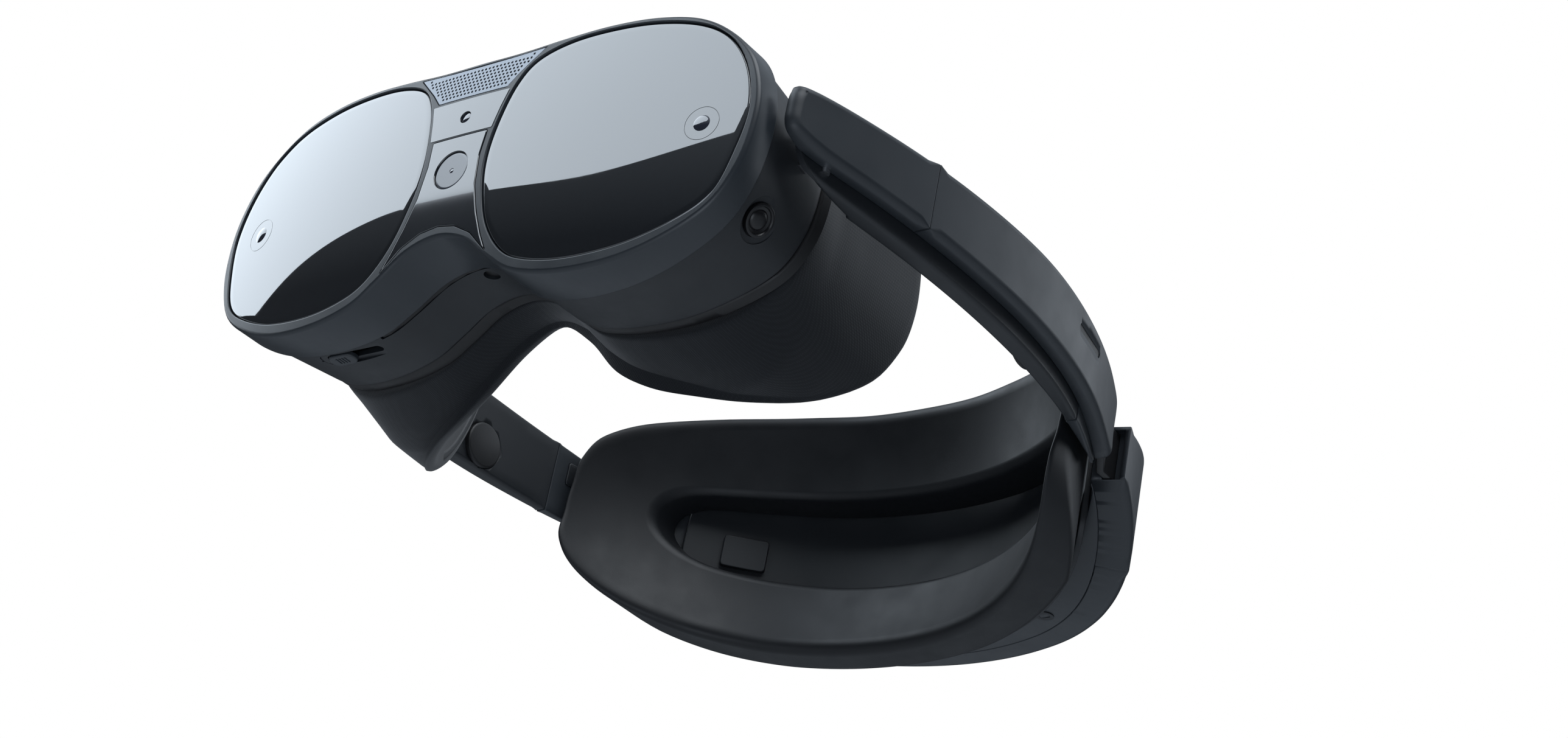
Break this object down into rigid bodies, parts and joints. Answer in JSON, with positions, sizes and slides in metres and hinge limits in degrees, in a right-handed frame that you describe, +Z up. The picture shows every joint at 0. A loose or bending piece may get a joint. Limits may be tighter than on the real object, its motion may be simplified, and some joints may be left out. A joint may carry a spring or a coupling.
{
  "type": "mixed reality headset",
  "caption": "Head-worn visor with two glossy front panels, knit face gasket, folding-style temples and a curved rear battery cradle with a fit dial and head pad.",
  "frame": {"origin": "midway between the rear faces of the two eyepieces, where the wearer's head locates", "axes": "+X towards the wearer's left, -Y the way the wearer looks, +Z up"},
  "size_m": [0.2186, 0.2633, 0.0887],
  "materials": {
    "charcoal_satin": "satin",
    "dark_matte": "matte",
    "black_plastic": "matte",
    "gloss_panel": "mirror gloss",
    "camera_gloss": "gloss",
    "grille_metal": "fine perforated",
    "inner_metal": "satin",
    "steel": "brushed",
    "circuit_board": "satin",
    "clear_lens": "polished",
    "knit_fabric": "fine knit",
    "pad_skin": "smooth matte skin over foam",
    "strap_black": "satin"
  },
  "bodies": {
    "visor": {"front_frame": "charcoal_satin", "lens_panel_left": "gloss_panel", "lens_panel_right": "gloss_panel", "bridge_panel": "charcoal_satin", "vent_grille": "grille_metal", "depth_window": "camera_gloss", "rgb_camera": "camera_gloss", "front_camera_left": "camera_gloss", "front_camera_right": "camera_gloss", "chassis": "inner_metal", "mainboard": "circuit_board", "fan_housing": "dark_matte", "body_shell": "dark_matte", "nose_vent": "black_plastic", "microphone": "black_plastic", "side_camera_left": "camera_gloss", "side_camera_right": "camera_gloss", "bulkhead": "black_plastic", "ipd_rails": "steel", "hinge_left": "steel", "hinge_right": "steel", "temple_left": "dark_matte", "temple_right": "dark_matte", "temple_cover_left": "charcoal_satin", "temple_cover_right": "charcoal_satin", "speaker_left": "black_plastic", "speaker_right": "black_plastic", "cradle_arm_left": "charcoal_satin", "cradle_arm_right": "charcoal_satin", "strap_left": "strap_black", "strap_right": "strap_black"},
    "fan": {"fan_rotor": "black_plastic"},
    "spacing_knob": {"ipd_slider": "charcoal_satin"},
    "optic_left": {"carrier_left": "dark_matte", "display_left": "camera_gloss"},
    "optic_right": {"carrier_right": "dark_matte", "display_right": "camera_gloss"},
    "focus_left": {"diopter_ring_left": "black_plastic", "eyepiece_left": "clear_lens"},
    "focus_right": {"diopter_ring_right": "black_plastic", "eyepiece_right": "clear_lens"},
    "power": {"power_button": "charcoal_satin"},
    "volume": {"volume_rocker": "charcoal_satin"},
    "gasket": {"gasket_frame": "black_plastic", "gasket_cushion": "knit_fabric", "gasket_magnets": "steel"},
    "release_left": {"release_button_left": "dark_matte"},
    "release_right": {"release_button_right": "dark_matte"},
    "cradle": {"battery_housing": "charcoal_satin", "battery_cover": "charcoal_satin", "battery_pack": "dark_matte", "pad_carrier": "dark_matte", "pad_tabs": "dark_matte", "usb_port": "steel"},
    "dial": {"fit_dial": "charcoal_satin"},
    "rack_bar_left": {"rack_left": "steel"},
    "rack_bar_right": {"rack_right": "steel"},
    "pad": {"rear_pad": "pad_skin"}
  },
  "joints": [
    {"name": "fan_spin", "type": "hinge", "parent": "visor", "child": "fan", "pos_m": [0, -0.024, 0.017], "axis": [0, 1, 0], "continuous": true},
    {"name": "spacing_slide", "type": "slide", "parent": "visor", "child": "spacing_knob", "axis": [1, 0, 0], "range_m": [-0.0025, 0.0105]},
    {"name": "optic_left_slide", "type": "slide", "parent": "visor", "child": "optic_left", "axis": [1, 0, 0], "range_m": [-0.00525, 0.00125]},
    {"name": "optic_right_slide", "type": "slide", "parent": "visor", "child": "optic_right", "axis": [-1, 0, 0], "range_m": [-0.00525, 0.00125]},
    {"name": "focus_left_turn", "type": "hinge", "parent": "optic_left", "child": "focus_left", "pos_m": [0.034, -0.001, 0], "axis": [0, 1, 0], "range_deg": [-60, 60]},
    {"name": "focus_right_turn", "type": "hinge", "parent": "optic_right", "child": "focus_right", "pos_m": [-0.034, -0.001, 0], "axis": [0, 1, 0], "range_deg": [-60, 60]},
    {"name": "power_press", "type": "slide", "parent": "visor", "child": "power", "axis": [0, 0, -1], "range_m": [0, 0.0006], "stiffness_N_per_m": 900},
    {"name": "volume_tilt", "type": "hinge", "parent": "visor", "child": "volume", "pos_m": [-0.044, -0.008, 0.0323], "axis": [0, 1, 0], "range_deg": [-1.5, 1.5], "stiffness_Nm_per_rad": 0.5},
    {"name": "gasket_pull", "type": "slide", "parent": "visor", "child": "gasket", "axis": [0, 1, 0], "range_m": [0, 0.02]},
    {"name": "release_left_press", "type": "slide", "parent": "visor", "child": "release_left", "axis": [0.9755, 0.2199, 0], "range_m": [0, 0.0012], "stiffness_N_per_m": 900},
    {"name": "release_right_press", "type": "slide", "parent": "visor", "child": "release_right", "axis": [-0.9755, 0.2199, 0], "range_m": [0, 0.0012], "stiffness_N_per_m": 900},
    {"name": "dial_turn", "type": "hinge", "parent": "cradle", "child": "dial", "pos_m": [0, 0.228, 0], "axis": [0, 1, 0], "range_deg": [-38.3, 38.3]},
    {"name": "fit_slide", "type": "slide", "parent": "visor", "child": "cradle", "axis": [0, 1, 0], "range_m": [-0.004, 0.004]},
    {"name": "rack_left_slide", "type": "slide", "parent": "cradle", "child": "rack_bar_left", "axis": [1, 0, 0], "range_m": [-0.004, 0.004]},
    {"name": "rack_right_slide", "type": "slide", "parent": "cradle", "child": "rack_bar_right", "axis": [-1, 0, 0], "range_m": [-0.004, 0.004]},
    {"name": "pad_pull", "type": "slide", "parent": "cradle", "child": "pad", "axis": [0, -1, 0], "range_m": [0, 0.012]}
  ],
  "couplings": [
    {"joint": "optic_left_slide", "follows": "spacing_slide", "ratio": -0.5},
    {"joint": "optic_right_slide", "follows": "spacing_slide", "ratio": -0.5},
    {"joint": "dial_turn", "follows": "fit_slide", "rad_per_m": 166.67},
    {"joint": "rack_left_slide", "follows": "fit_slide", "ratio": 1},
    {"joint": "rack_right_slide", "follows": "fit_slide", "ratio": 1}
  ]
}
